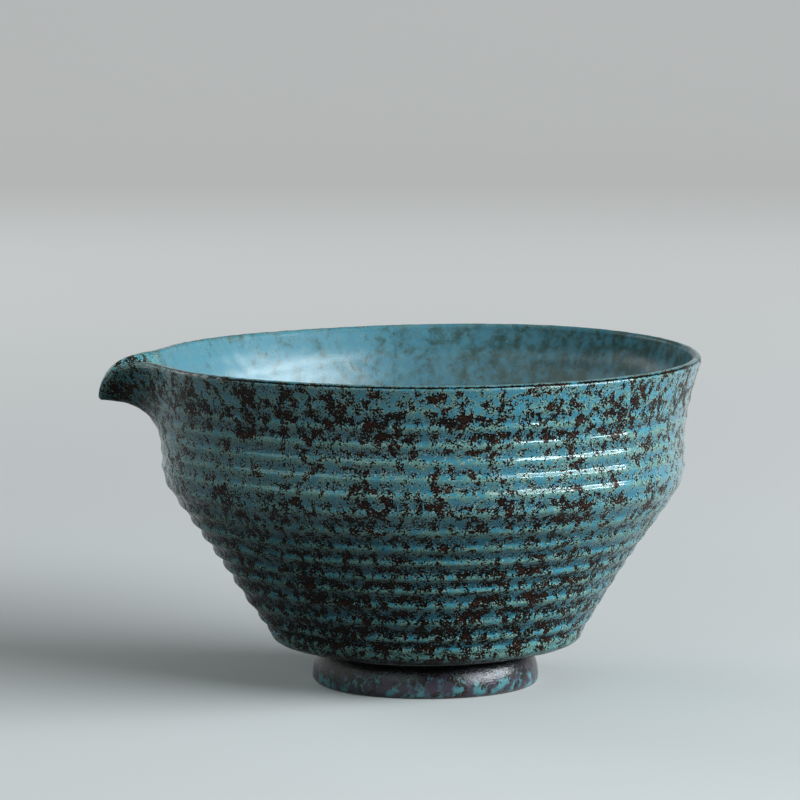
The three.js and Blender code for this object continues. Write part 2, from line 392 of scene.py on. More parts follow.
def normals_of(points):
    """Outward normals of a grid that closes round its columns: the cross product of the step to the next
    column and the step to the next row."""
    across = np.roll(points, -1, axis=1) - np.roll(points, 1, axis=1)
    along = np.gradient(points, axis=0)
    normal = np.cross(across, along)
    length = np.linalg.norm(normal, axis=-1, keepdims=True)
    return normal / np.maximum(length, 1e-12)


# The skins of the pot and of the foot ring


def outside_radius(pot, foot, height):
    """Outside of the bowl without its rings: a cone that sags inwards by a bell curve, a curve tangent to it
    and to the upright wall, and the flare (rim - waist) * opened^power on top of both."""
    base_edge = foot.height + pot.base_edge_rise
    low = pot.shoulder_height - pot.shoulder_round
    slope = (pot.waist_radius - pot.base_edge_radius) / (pot.shoulder_height - base_edge)
    cone = pot.base_edge_radius + (np.minimum(height, low) - base_edge) * slope
    middle = (base_edge + pot.shoulder_height) / 2
    cone = cone - pot.cone_sag * bell(height - middle, pot.cone_sag_spread, 2)
    body = bezier(cone, pot.waist_radius, pot.waist_radius, share(height, low, low + 2 * pot.shoulder_round))
    lip_base = pot.rim_height - pot.lip_thickness / 2
    opened = share(height, pot.rim_height - pot.flare_depth, lip_base)
    return body + (pot.rim_radius - pot.waist_radius) * opened**pot.flare_power


def wall_radius(pot, foot, height, inward):
    """Radius of the outside (inward 0) or of the inside (inward 1) of the wall at a height."""
    low = pot.shoulder_height - pot.shoulder_round
    wall = lerp(pot.cone_thickness, pot.wall_thickness, share(height, low, low + 2 * pot.shoulder_round))
    lip_base = pot.rim_height - pot.lip_thickness / 2
    thickness = lerp(wall, pot.lip_thickness, share(height, pot.rim_height - pot.flare_depth, lip_base))
    return outside_radius(pot, foot, height) - inward * thickness


def cross_section(pot, spout, foot, detail):
    """Rows of the pot's skin as radius, height and inward share, from the middle of the underside out, up
    the outside, over the lip, down the inside and across the floor to its middle. Also gives the first and
    the last row of the spout's patch, which lie at the notch's lowest height, outside and inside."""
    base_edge = foot.height + pot.base_edge_rise
    recess = foot.height + foot.recess
    notch = pot.rim_height - spout.notch_depth
    half = pot.lip_thickness / 2
    lip_base = pot.rim_height - half
    inner = foot.inner_radius - foot.seat_margin
    outer = foot.radius + foot.seat_margin
    t = np.linspace(0, 1, detail.underside_rows, endpoint=False)
    flat = np.array([0, inner / 2, inner - foot.recess, inner, foot.inner_radius, foot.radius])
    edge = pot.base_edge_radius
    underside = (
        np.append(flat, bezier(outer, edge, edge, t)),
        np.append([recess] * 3 + [foot.height] * 3, bezier(foot.height, recess, base_edge, t)),
    )
    cone = np.linspace(base_edge, notch, detail.cone_rows, endpoint=False)
    upper = np.linspace(notch, lip_base, detail.notch_rows, endpoint=False)
    over = np.linspace(0, math.pi, detail.lip_rows)
    corner_top = foot.height + pot.floor_thickness + pot.floor_corner
    floor = foot.height + pot.floor_thickness
    upper_inside = steps(lip_base, notch, detail.notch_rows)
    inside = np.append(upper_inside, steps(notch, corner_top, detail.inner_rows))
    t = steps(0, 1, detail.corner_rows)
    corner_start = wall_radius(pot, foot, corner_top, 1)
    corner = bezier(corner_start, wall_radius(pot, foot, floor, 1), pot.floor_radius, t)
    middle = steps(pot.floor_radius, 0, detail.floor_rows)
    wall = np.append(cone, upper)
    radius = np.concatenate([
        underside[0], wall_radius(pot, foot, wall, 0), pot.rim_radius - half + half * np.cos(over),
        wall_radius(pot, foot, inside, 1), corner, middle,
    ])
    height = np.concatenate([
        underside[1], wall, lip_base + half * np.sin(over), inside,
        bezier(corner_top, floor, floor, t), np.full(len(middle), floor),
    ])
    before = len(underside[0]) + len(wall)
    after = len(inside) + len(corner) + len(middle)
    inward = np.concatenate([np.zeros(before), over / math.pi, np.ones(after)])
    first = before - detail.notch_rows
    last = before + detail.lip_rows + detail.notch_rows - 1
    return radius, height, inward, first, last


def column_angles(detail):
    """Angles round the axis, 0 at the spout: t - crowding * sin(t) for even steps t."""
    t = np.linspace(-math.pi, math.pi, detail.columns, endpoint=False)
    return t - detail.crowding * np.sin(t)


def bend_to_notch(pot, spout, angle, height, side):
    """Bends the grid so that the edge of the spout's patch follows the notch's round bottom.

    In shares a of the half width and b of the radius below the notch's centre, the square of side 1 goes to
    the disc by a sqrt(1 - b^2 / 2) and b sqrt(1 - a^2 / 2). The move fades out past the patch.
    """
    centre = pot.rim_height - spout.notch_depth + spout.notch_half
    a = angle / side
    b = (centre - height) / spout.notch_half
    fade = 1 - smooth(share(np.maximum(np.abs(a), b), 1, BEND_END))
    near_a = np.clip(a, -1, 1)
    near_b = np.clip(b, 0, 1)
    turned = angle + side * fade * near_a * (np.sqrt(1 - near_b**2 / 2) - 1)
    moved = height - spout.notch_half * fade * near_b * (np.sqrt(1 - near_a**2 / 2) - 1)
    return turned, moved


def throwing_rings(pot, height):
    """From 0 in a groove to 1 on a crest: a raised cosine of the ring's number, to a power. The lip counts
    as one more weak crest. Also gives the strength of the rings at that height."""
    crests = np.append(np.array(pot.ring_crests), pot.rim_height)
    strengths = np.append(np.array(pot.ring_strengths), pot.lip_strength)
    number_of_ring = np.interp(height, crests, np.arange(len(crests)))
    crest = (0.5 + 0.5 * np.cos(2 * math.pi * number_of_ring)) ** pot.ring_sharpness
    return crest, np.interp(height, crests, strengths)


def iron_bias(pot, flow, ring, height, turned, near_spout):
    """How much more iron the outside has than usual: some in the grooves, where the ring is negative, a bell
    curve under the lip and one at the shoulder, and the cone's share, which swings by the cosine of the
    angle from the side that has the most. The cone's share is real iron and also painted shade of the cone
    that faces down, most on its shaded front-left side."""
    band = bell(height - pot.rim_height + flow.band_drop, flow.band_spread, 2)
    shoulder = bell(height - pot.shoulder_height + flow.shoulder_drop, flow.shoulder_spread, 2)
    low = 1 - smooth(share(height, flow.cone_full, pot.shoulder_height + flow.cone_past))
    # Painted shade with the real iron: the cone darkens, most towards its shaded front-left side
    cone = (flow.cone_iron_and_shade + flow.cone_shade_swing * np.cos(turned - flow.shaded_cone_side)) * low
    bands = flow.band_iron * band + flow.shoulder_iron * shoulder + cone
    return bands - flow.groove_iron * ring - flow.spout_iron * near_spout


def lip_marks(flow, inward, drop, worn):
    """Where the glaze runs thin over the lip, with a painted highlight line under its outer edge, more of
    both by the spout, where the lip carries a painted highlight, and where a dark line follows that edge,
    less of it by the spout: bell curves of the inward share and of the drop below the top."""
    # Painted highlight: a pale line just under the lip's outer edge
    line = (inward < PAINTED_HIGHLIGHT_LINE_END) * bell(drop - PAINTED_HIGHLIGHT_LINE[0], PAINTED_HIGHLIGHT_LINE[1], 2)
    thin = bell(inward - THIN_BAND[0], THIN_BAND[1], 4) + line
    dark = bell(inward - DARK_BAND[0], DARK_BAND[1], 2)
    return thin[:, None] * (1 + flow.lip_highlight_gain * worn), dark[:, None] * (1 - flow.lip_highlight_edge_cut * worn)


def glaze_marks(pot, spout, flow, section, turned, moved, crest, strength, near_spout):
    """What the glaze reads at each point, as grids, from the section's heights and inward shares.

    iron_bias is how much more iron there is than usual, and on the cone also painted shade. inside is 1 on
    the smooth glaze inside, and sheen is 1 there from a little below the lip. gloss is the weight of the
    clear coat. clear is the cosine of the angle from the spout, inside, and sets painted shade on the side
    away from the spout. crest is positive on a ring and negative in a groove, and sets the painted shade in
    the grooves. lip is the thin glaze at the lip, with a painted highlight under its outer edge and by the
    spout, and edge is the dark line at the lip.
    """
    height, inward = section
    inside = np.repeat(inward[:, None], turned.shape[1], axis=1)
    outside = 1 - inside
    ring = outside * np.clip(strength, 0, flow.ring_limit)
    beak = bell(turned, flow.beak_spread * spout.spread, 6)
    beak = beak * share(moved, pot.rim_height - flow.beak_low, pot.rim_height - flow.beak_high)
    smooth_glaze = inside * (1 - flow.beak_cover * beak)
    outer_iron = iron_bias(pot, flow, (crest - flow.iron_level) * ring, moved, turned, near_spout)
    upper = smooth(share(moved, flow.gloss_low, flow.gloss_high))
    gloss = lerp(flow.cone_gloss, 1, upper) * (1 - flow.spout_gloss * near_spout)
    # The bell round the spout marks the painted highlight on the lip there
    thin, dark = lip_marks(flow, inward, pot.rim_height - height, bell(turned, flow.lip_highlight_spread, 6))
    return {
        "iron_bias": outside * outer_iron + inside * (flow.beak_iron * beak - flow.inner_iron),
        "inside": smooth_glaze,
        "sheen": smooth_glaze * smooth(share(pot.rim_height - moved, flow.sheen_start, flow.sheen_full)),
        "gloss": outside * gloss + inside * flow.inner_gloss,
        # clear sets painted shade inside, on the side away from the spout
        "clear": inside * np.cos(turned),
        "crest": (crest - flow.groove_pool_and_shade_level) * ring,
        "lip": thin,
        "edge": dark,
    }


def pot_skin(pot, spout, foot, detail, flow):
    """The pot's whole skin: points, normals and what the glaze reads, as grids of rows and columns.

    Radius = wall + relief * strength * (crest - 1/2) outside, or + ripple * cosine of the height inside,
    + wobble * waves. The spout then moves a point out by reach * swing * bell and down by droop * swing *
    bell, where swing = (share of the height in the spout's depth)^ease. The lip rises on one side by rise *
    bell * (share of the height over the shoulder)^2, and the foot of the pot leans away from the spout.
    """
    radius, height, inward, first, last = cross_section(pot, spout, foot, detail)
    angles = column_angles(detail)
    middle = detail.columns // 2
    half_columns = int(np.argmin(np.abs(angles[middle:] - math.asin(spout.notch_half / pot.rim_radius))))
    angle = np.repeat(angles[None, :], len(radius), axis=0)
    turned, moved = bend_to_notch(pot, spout, angle, height[:, None], angles[middle + half_columns])
    inside = np.repeat(inward[:, None], detail.columns, axis=1)
    body = radius[:, None] - wall_radius(pot, foot, height, inward)[:, None]
    body = body + wall_radius(pot, foot, moved, inside)
    crest, strength = throwing_rings(pot, moved)
    above = share(moved, pot.shoulder_height, pot.rim_height - spout.calm_drop)
    near_spout = bell(turned, spout.calm_spread * spout.spread, 4) * smooth(above)
    faded = (1 - pot.spout_calm * near_spout) * share(moved, foot.height, foot.height + pot.base_edge_rise)
    circle = np.stack([np.cos(turned), np.sin(turned), moved / pot.rim_radius], -1) * pot.rim_radius
    wander = waves(circle, pot.wobble_length, WALL_SEED)
    drift = 1 + pot.ring_drift * waves(circle, pot.ring_drift_length, RING_SEED)
    back = bell(np.pi - np.abs(turned), pot.back_spread, 4)
    strength = strength * faded * (1 - pot.back_calm * back) * drift
    ripple = np.cos(2 * math.pi * moved / pot.inner_pitch + pot.inner_drift * wander)
    body = body + (1 - inside) * pot.ring_relief * strength * (crest - 0.5)
    body = body + inside * pot.inner_ripple * ripple * share(body, pot.floor_radius, pot.base_edge_radius)
    body = body + pot.wobble * wander * share(body, foot.radius, pot.base_edge_radius)
    swing = share(moved, pot.rim_height - spout.depth, pot.rim_height) ** spout.swelling_ease
    narrowing = lerp(1, spout.channel_share, inside)
    out = spout.reach * swing * bell(turned, spout.spread * narrowing, spout.swelling_power)
    down = (spout.droop - spout.floor * inside) * swing
    down = down * bell(turned, spout.beak_spread * narrowing, spout.beak_power)
    past = np.angle(np.exp(1j * (turned - pot.rim_rise_at)))
    over_shoulder = share(moved, pot.shoulder_height, pot.rim_height)
    rise = pot.rim_rise * bell(past, pot.rim_rise_spread, 2) * over_shoulder**2
    lean = pot.lean * (1 - smooth(share(moved, pot.lean_low, pot.lean_high)))
    across = AXIS + lean - body * np.cos(turned) - out
    points = np.stack([across, -body * np.sin(turned), moved - down + rise], -1)
    points += normals_of(points) * pot.lumps * waves(points, pot.lump_length, LUMP_SEED)[..., None]
    points[0] = points[0].mean(axis=0)
    points[-1] = points[-1].mean(axis=0)
    normals = normals_of(points)
    normals[0] = (0, 0, -1)
    normals[-1] = (0, 0, 1)
    section = height, inward
    looks = glaze_marks(pot, spout, flow, section, turned, moved, crest, strength, near_spout)
    patch = (slice(first, last + 1), slice(middle - half_columns, middle + half_columns + 1))
    return points, normals, looks, patch


def foot_skin(foot, detail, lean):
    """The foot ring's skin: a closed outline of quadratic curves and straight stretches, turned round the
    axis, with its radius straying by wobble * waves above the standing face. Also gives what its glaze
    reads: low is 1 along its foot, high is 1 under the bowl, where painted shade darkens the ring, and bare
    is 1 on the standing face."""
    top = foot.height + foot.overlap
    neck = foot.height - foot.fillet
    inner, outer, waist = foot.inner_radius, foot.radius, foot.neck_radius
    edge, bulge = foot.edge, foot.bulge_height
    t = np.linspace(0, 1, detail.foot_rows, endpoint=False)
    corners = [
        ((inner, top), (inner, neck), (inner, edge)),
        ((inner, edge), (inner, 0), (inner + edge, 0)),
        ((inner + edge, 0), (outer - 2 * edge, 0), (outer - edge, 0)),
        ((outer - edge, 0), (outer, 0), (outer, bulge)),
        ((outer, bulge), (outer, (bulge + neck) / 2), (waist, neck)),
        ((waist, neck), (waist, foot.height), (waist + foot.fillet, top)),
        ((waist + foot.fillet, top), (waist, top), (inner, top)),
    ]
    radius = np.concatenate([bezier(a[0], b[0], c[0], t) for a, b, c in corners])
    height = np.concatenate([bezier(a[1], b[1], c[1], t) for a, b, c in corners])
    angle = np.linspace(-math.pi, math.pi, detail.foot_columns, endpoint=False)[None, :]
    circle = np.stack(np.broadcast_arrays(np.cos(angle), np.sin(angle), height[:, None] / outer), -1)
    stray = foot.wobble * waves(circle * outer, foot.wobble_length, FOOT_SEED)
    body = radius[:, None] + stray * share(height, 0, edge)[:, None]
    across = AXIS + lean - body * np.cos(angle)
    points = np.stack(np.broadcast_arrays(across, -body * np.sin(angle), height[:, None]), -1)
    low = 1 - smooth(share(points[..., 2], foot.teal_full, foot.teal_end))
    # Painted shade: high marks the band under the bowl that darkens to black
    high = smooth(share(points[..., 2], foot.painted_shade_start, foot.painted_shade_full))
    bare = 1 - share(points[..., 2], foot.bare_full, foot.bare_end)
    return points, {"low": low, "high": high, "bare": bare}


# From grids to closed meshes


def quads(index):
    """Faces of a grid of vertex numbers, with their corners counterclockwise seen from outside."""
    return np.stack([index[:-1, :-1], index[:-1, 1:], index[1:, 1:], index[1:, :-1]], -1).reshape(-1, 4)


def cut_faces(edge):
    """Faces that close a patch through the wall: a strip under it from the outer to the inner row, and on
    each side the outer rows joined to the inner rows of the same number. Seen from outside the patch."""
    under = np.stack([edge[0, :-1], edge[-1, :-1], edge[-1, 1:], edge[0, 1:]], -1)
    half = len(edge) // 2
    outer = edge[:half]
    inner = edge[: half - 1 : -1]
    left = np.stack([outer[:-1, 0], outer[1:, 0], inner[1:, 0], inner[:-1, 0]], -1)
    right = np.stack([outer[1:, -1], outer[:-1, -1], inner[:-1, -1], inner[1:, -1]], -1)
    return np.concatenate([under, left, right])


def make_piece(name, points, normals, looks, skin, cuts, material, node):
    """A closed mesh from the skin's faces, shaded by the surface's own normals, and flat cut faces. A quad
    that touches a pole names it twice there, and is made a triangle."""
    corners = np.concatenate([skin, cuts]) if len(cuts) else skin
    used, corners = np.unique(corners, return_inverse=True)
    corners = corners.reshape(-1, 4)
    smooth_faces = len(skin)
    start = corners[:, 0] == corners[:, 1]
    end = corners[:, 2] == corners[:, 3]
    kept = np.ones(corners.shape, bool)
    kept[start, 1] = False
    kept[end, 3] = False
    sizes = kept.sum(axis=1)
    flat = corners[kept]
    mesh = bpy.data.meshes.new(name)
    places = points.reshape(-1, 3)[used]
    mesh.vertices.add(len(places))
    mesh.vertices.foreach_set("co", places.astype(np.float32).ravel())
    mesh.loops.add(len(flat))
    mesh.loops.foreach_set("vertex_index", flat.astype(np.int32))
    mesh.polygons.add(len(sizes))
    mesh.polygons.foreach_set("loop_start", np.append(0, np.cumsum(sizes)[:-1]).astype(np.int32))
    mesh.update(calc_edges=True)
    mesh.polygons.foreach_set("use_smooth", np.arange(len(sizes)) < smooth_faces)
    for key, values in looks.items():
        attribute = mesh.attributes.new(key, "FLOAT", "POINT")
        attribute.data.foreach_set("value", values.reshape(-1)[used].astype(np.float32))
    mesh.validate()
    own = normals.reshape(-1, 3)[used][flat]
    own[np.repeat(np.arange(len(sizes)) >= smooth_faces, sizes)] = 0
    mesh.normals_split_custom_set(own.tolist())
    mesh.materials.append(material)
    piece = bpy.data.objects.new(name, mesh)
    bpy.context.scene.collection.objects.link(piece)
    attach(piece, "root")
    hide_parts(node)
    return piece


def skin_index(shape):
    """Vertex numbers of a grid that closes round its columns and shrinks to a pole at both ends."""
    index = np.arange(shape[0] * shape[1]).reshape(shape)
    index[0] = index[0, 0]
    index[-1] = index[-1, 0]
    return np.concatenate([index, index[:, :1]], axis=1)


# Materials


class Value:
    """One output of a material's node tree. Arithmetic on it adds Math nodes."""

    def __init__(self, finish, output):
        self.finish = finish
        self.output = output

    def math(self, operation, first, second):
        """One Math node on two numbers or values."""
        return self.finish.node("ShaderNodeMath", {"operation": operation}, {0: first, 1: second})

    def __add__(self, other):
        return self.math("ADD", self, other)

    def __radd__(self, other):
        return self.math("ADD", other, self)

    def __sub__(self, other):
        return self.math("SUBTRACT", self, other)

    def __rsub__(self, other):
        return self.math("SUBTRACT", other, self)

    def __mul__(self, other):
        return self.math("MULTIPLY", self, other)

    def __rmul__(self, other):
        return self.math("MULTIPLY", other, self)


class Finish:
    """A material made of nodes, with the colours and scale that it is made from."""

    def __init__(self, name, look=None):
        self.look = look
        self.material = bpy.data.materials.new(name)
        self.material.use_nodes = True
        self.tree = self.material.node_tree
        self.tree.nodes.clear()

    def node(self, kind, settings=None, sockets=None, output=0):
        """Adds a node, sets it up, fills or links its sockets and gives one of its outputs."""
        node = self.tree.nodes.new(kind)
        for name, value in (settings or {}).items():
            setattr(node, name, value)
        for key, value in (sockets or {}).items():
            if isinstance(value, Value):
                self.tree.links.new(value.output, node.inputs[key])
            else:
                node.inputs[key].default_value = value
        return Value(self, node.outputs[output]) if len(node.outputs) else None

    def place(self):
        """The point on the piece, in metres."""
        return self.node("ShaderNodeTexCoord", output="Object")

    def attribute(self, name):
        """A number that the piece carries at each vertex."""
        return self.node("ShaderNodeAttribute", {"attribute_name": name}, output="Fac")

    def scaled(self, vector, factors):
        """The vector times three factors."""
        return self.node("ShaderNodeVectorMath", {"operation": "MULTIPLY"}, {0: vector, 1: factors})

    def shifted(self, vector, step):
        """The vector plus a step."""
        return self.node("ShaderNodeVectorMath", {"operation": "ADD"}, {0: vector, 1: step})

    def noise(self, vector, feature, shift=0.0, detail=2.0, roughness=0.5, distortion=0.0):
        """Cloudy noise from 0 to 1 with features of a size in metres. The shift gives another pattern."""
        sockets = {
            "Vector": self.shifted(vector, (shift, 0.7 * shift, -shift)),
            "Scale": 1 / feature,
            "Detail": detail,
            "Roughness": roughness,
            "Distortion": distortion,
        }
        return self.node("ShaderNodeTexNoise", {"noise_dimensions": "3D"}, sockets)

    def cells(self, vector, spacing, shift):
        """Distance to the nearest of many scattered points, as a share of their spacing in metres, and that
        point's own random number."""
        sockets = {"Vector": self.shifted(vector, (shift, -shift, 0.6 * shift)), "Scale": 1 / spacing}
        nearest = self.node("ShaderNodeTexVoronoi", {"feature": "F1"}, sockets)
        return nearest, Value(self, nearest.output.node.outputs["Color"])

    def ease(self, value, low, high):
        """A smooth step from 0 at low to 1 at high."""
        return self.node(
            "ShaderNodeMapRange",
            {"interpolation_type": "SMOOTHSTEP"},
            {"Value": value, "From Min": low, "From Max": high, "To Min": 0.0, "To Max": 1.0},
        )

    def larger(self, first, second):
        """The larger of two numbers."""
        return self.node("ShaderNodeMath", {"operation": "MAXIMUM"}, {0: first, 1: second})

    def mix(self, factor, first, second):
        """The colour at share factor of the way from the first to the second."""
        sockets = {0: factor, 6: opaque(first), 7: opaque(second)}
        return self.node("ShaderNodeMix", {"data_type": "RGBA"}, sockets, output=2)

    def shader(self, base, roughness, normal, specular, coat=0.0):
        """A Principled shader, with a clear coat whose weight may vary."""
        sockets = {
            "Base Color": base,
            "Roughness": roughness,
            "Normal": normal,
            "Specular IOR Level": specular,
            "Coat Weight": coat,
            "Coat Roughness": self.look.coat_roughness,
            "Coat IOR": self.look.coat_ior,
        }
        return self.node("ShaderNodeBsdfPrincipled", sockets=sockets)

    def end(self, surface):
        """Ends the material in a shader."""
        self.node("ShaderNodeOutputMaterial", sockets={"Surface": surface})
        return self.material

    def bump(self, height, distance):
        """A normal that follows a height from 0 to 1 with a real distance in metres."""
        return self.node("ShaderNodeBump", sockets={"Height": height, "Distance": distance, "Strength": 1.0})


def opaque(value):
    """A colour of three numbers with its alpha, or a linked value as it is."""
    return value if isinstance(value, Value) else (*value, 1.0)


# Where a change in the glaze starts and where it is complete
BLUE_TO_TEAL = -0.16, 0.00
TEAL_TO_SAGE = 0.00, 0.16
SAGE_TO_FLECK = 0.57, 0.73
GROOVE_POOL_AND_SHADE = 0.10, 0.75
DULL_TINT = 0.00, 0.12
SPOT_EDGE = -0.04, 0.05
SPOT_HOLE = 0.60, 0.72
SPOT_HALO = -0.40, -0.08
INNER_SPOT = -0.35, 0.30
INNER_SMEAR_AND_SHADE = -0.28, 0.32
IRON_TO_RUST = 0.10, 0.55
THIN_LIP = 0.85, 1.15
# The next is the painted highlight on the lip by the spout
PAINTED_LIP_HIGHLIGHT = 1.05, 1.5
DARK_EDGE = 0.35, 0.65
FOOT_TEAL = 0.50, 0.66
FOOT_VIOLET = 0.42, 0.56
FOOT_IRON = 0.44, 0.52
FOOT_RUST = 0.62, 0.72
# The last is the painted shade on the foot under the bowl
FOOT_PAINTED_SHADE = 0.30, 0.75

# The mean of a noise, the share of the wide clouds beside the small ones, the mean of their sum, and how
# strongly the iron follows it
MIDDLE = 0.5
DRIFT_SHARE = 0.34
CLOUD_MIDDLE = 0.668
IRON_CONTRAST = 1.15

# A speck's radius as a share of the spacing, the random number up to which a point has its whole speck
# where the iron is usual, and the iron from which specks run together
SPECK_RADIUS = 0.32
SPECK_CHANCE = 0.66
PATCH_LEVEL = 0.110


def iron_spots(f, place, iron, bias, grain, fine):
    """Two fields of the iron: the spots, positive inside one, and the specks alone, which grow towards their
    middle. Each scattered point has a speck whose radius grows with the iron and whose random number may
    leave it out. Patches join them where the iron is high, and fine grain eats holes in both."""
    distance, chance = f.cells(place, f.look.spacing, 0.53)
    sown = iron - 0.4 * bias
    missing = f.larger(chance - 2.0 * sown, SPECK_CHANCE) - SPECK_CHANCE
    speck = SPECK_RADIUS + 0.6 * sown + 0.6 * (grain - MIDDLE) - distance - 2.0 * missing
    patch = 2.3 * (iron - PATCH_LEVEL) + 1.7 * (grain - MIDDLE)
    hole = 0.45 * f.ease(fine, *SPOT_HOLE)
    return f.larger(speck, patch) - hole, speck


def glass_colour(f, clouds, tint, fine, halo):
    """The glaze between the spots: blue, teal and sage as the tint rises, sage round the specks too, dark in
    the grooves as thick glaze and as painted shade, with pale flecks."""
    look = f.look
    base = f.mix(f.ease(tint, *BLUE_TO_TEAL), look.blue, look.teal)
    base = f.mix(f.ease(tint + 0.18 * halo, *TEAL_TO_SAGE), base, look.sage)
    # Painted shade with the thick glaze: the grooves darken towards the pool colour
    groove = f.ease(-1.0 * f.attribute("crest"), *GROOVE_POOL_AND_SHADE)
    base = f.mix(look.groove_pool_and_shade_depth * groove, base, look.pool)
    fleck = f.ease(fine + 0.5 * clouds + 0.12 * halo, *SAGE_TO_FLECK)
    return f.mix(look.fleck_depth * fleck, base, look.fleck)


def inner_colour(f, place, iron):
    """The smooth glaze inside, with streaks of iron that run down it. They are fewer on the side of the
    spout and more on the far side, where they are also painted shade.
    """
    streak = f.noise(f.scaled(place, (1.0, 1.0, 0.45)), f.look.streak, 0.91, detail=2.0)
    # Painted shade: the clear term spreads the dark smudge colour over the inside away from the spout
    smear_and_shade = iron + 0.9 * (streak - MIDDLE) - 0.17 * f.attribute("clear")
    return f.mix(f.ease(smear_and_shade, *INNER_SMEAR_AND_SHADE), f.look.inner, f.look.smudge_and_shade)


def lip_colour(f, base, clouds, fine, grain):
    """The colour with the glaze run thin along the lip and a painted highlight line under it, and a pale
    painted highlight on the lip by the spout.
    """
    lip = f.attribute("lip")
    broken = 0.6 * fine + 0.4 * grain - 0.5 * clouds - 0.51
    base = f.mix(f.ease(lip + 2.1 * broken, *THIN_LIP), base, f.look.thin)
    # Painted highlight: the lip by the spout turns the pale fleck colour
    return f.mix(f.ease(lip, *PAINTED_LIP_HIGHLIGHT), base, f.look.fleck)


def glaze(name, look):
    """Turquoise glaze with iron spots, under a clear coat outside and with a soft sheen inside.

    The iron is a sum of clouds and of the piece's own bias, which on the cone is also painted shade. It sets
    the spots, their rusty middles and, with two finer noises and the rings, the tint of the glaze between
    them. The rings' part of that tint and the pool colour in the grooves are partly painted light and shade.
    """
    f = Finish(name, look)
    place = f.place()
    inside = f.attribute("inside")
    bias = f.attribute("iron_bias")
    cluster = f.noise(place, look.cluster, 0.29, detail=3.0, roughness=0.55, distortion=0.3)
    drift = f.noise(place, look.drift, 0.11, detail=1.0)
    grain = f.noise(place, look.grain, 0.37, detail=2.0, roughness=0.6)
    mottle = f.noise(place, look.mottle, 0.71, detail=2.0)
    fine = f.noise(place, look.fine, 0.57, detail=1.0)
    clouds = cluster + DRIFT_SHARE * drift - CLOUD_MIDDLE
    iron = IRON_CONTRAST * clouds + bias
    field, speck = iron_spots(f, place, iron, bias, grain, fine)
    inner_spot = look.inner_spots * inside * f.ease(field, *INNER_SPOT)
    spot = f.ease(field, *SPOT_EDGE) * (1 - inside) + inner_spot
    # The crest term is glaze that runs thin on a crest, and also painted light on the crests and painted
    # shade in the grooves
    tint = 0.8 * clouds + 0.8 * (mottle - MIDDLE) + 0.9 * (fine - MIDDLE) + 0.13 * f.attribute("crest")
    base = glass_colour(f, clouds, tint, fine, f.ease(speck, *SPOT_HALO))
    base = f.mix(inside * look.inner_depth, base, inner_colour(f, place, iron))
    base = lip_colour(f, base, clouds, fine, grain)
    edged = f.ease(f.attribute("edge") + 1.6 * (grain - MIDDLE) + 1.2 * clouds, *DARK_EDGE)
    rusted = 2.2 * clouds + 0.5 * (mottle - MIDDLE) + 1.5 * (fine - MIDDLE)
    metal = f.mix(f.ease(rusted, *IRON_TO_RUST), look.iron, look.rust)
    base = f.mix(f.larger(spot, edged), base, metal)
    roughness = look.roughness + 0.05 * f.ease(tint, *DULL_TINT) + 0.08 * inside
    normal = f.bump((1 - inside) * (spot * (0.3 + 1.4 * grain) + 0.12 * grain), look.relief)
    coat = (1 - look.spot_coat * spot) * f.attribute("gloss")
    outer = f.shader(base, roughness, normal, look.shine, coat)
    inner = f.shader(base, look.inner_roughness, f.bump(grain, look.relief * 0.2), look.inner_shine)
    return f.end(f.node("ShaderNodeMixShader", sockets={0: f.attribute("sheen"), 1: outer, 2: inner}))


def foot_glaze(name, look):
    """Iron glaze on the foot ring: violet brown with blotches of teal, most of them along its foot, black
    iron with rusty middles, a band of painted shade in the iron's black under the bowl, and bare clay on the
    standing face."""
    f = Finish(name, look)
    place = f.place()
    cluster = f.noise(place, look.cluster, 0.23, detail=3.0, roughness=0.6, distortion=0.3)
    grain = f.noise(place, look.grain, 0.37, detail=2.0, roughness=0.6)
    mottle = f.noise(place, 1.4 * look.mottle, 0.71, detail=2.0)
    low = f.attribute("low")
    bare = f.attribute("bare")
    iron = cluster + 0.3 * (grain - MIDDLE)
    base = f.mix(0.9 * f.ease(mottle + 0.08 * low, *FOOT_TEAL), look.violet, look.teal)
    base = f.mix(f.ease(iron - 0.06 * low, *FOOT_VIOLET), base, look.violet)
    base = f.mix(f.ease(iron + 0.4 * (mottle - MIDDLE) - 0.12 * low, *FOOT_IRON), base, look.iron)
    base = f.mix(f.ease(iron, *FOOT_RUST), base, look.rust)
    # Painted shade: the ring darkens to the iron's black under the bowl
    dark = f.attribute("high") + 1.2 * (mottle - MIDDLE) + 0.8 * (grain - MIDDLE)
    base = f.mix(0.9 * f.ease(dark, *FOOT_PAINTED_SHADE), base, look.iron)
    base = f.mix(bare, base, look.clay)
    normal = f.bump(iron + 0.5 * grain, 0.4 * look.relief)
    return f.end(f.shader(base, look.roughness + 0.40 * bare, normal, look.foot_shine))


# The stage


def dish(radius, wall, height, rows, columns):
    """A round floor that curves up at its rim. Up to the flat radius the height is 0, and past it the
    profile is a quarter ellipse that is wall wide and height high."""
    t = steps(0, 1, rows)
    along = np.concatenate([[0.0, radius], radius + wall * np.sin(t * math.pi / 2)])
    up = np.concatenate([[0.0, 0.0], height * (1 - np.cos(t * math.pi / 2))])
    around = np.linspace(0, 2 * math.pi, columns, endpoint=False)[None, :]
    level = np.repeat(up[:, None], columns, axis=1)
    return np.stack([along[:, None] * np.cos(around), along[:, None] * np.sin(around), level], -1)


def aim(place, target):
    """The matrix of a lamp or camera at a place that looks at a target."""
    direction = Vector(target) - Vector(place)
    return Matrix.Translation(place) @ direction.to_track_quat("-Z", "Y").to_matrix().to_4x4()


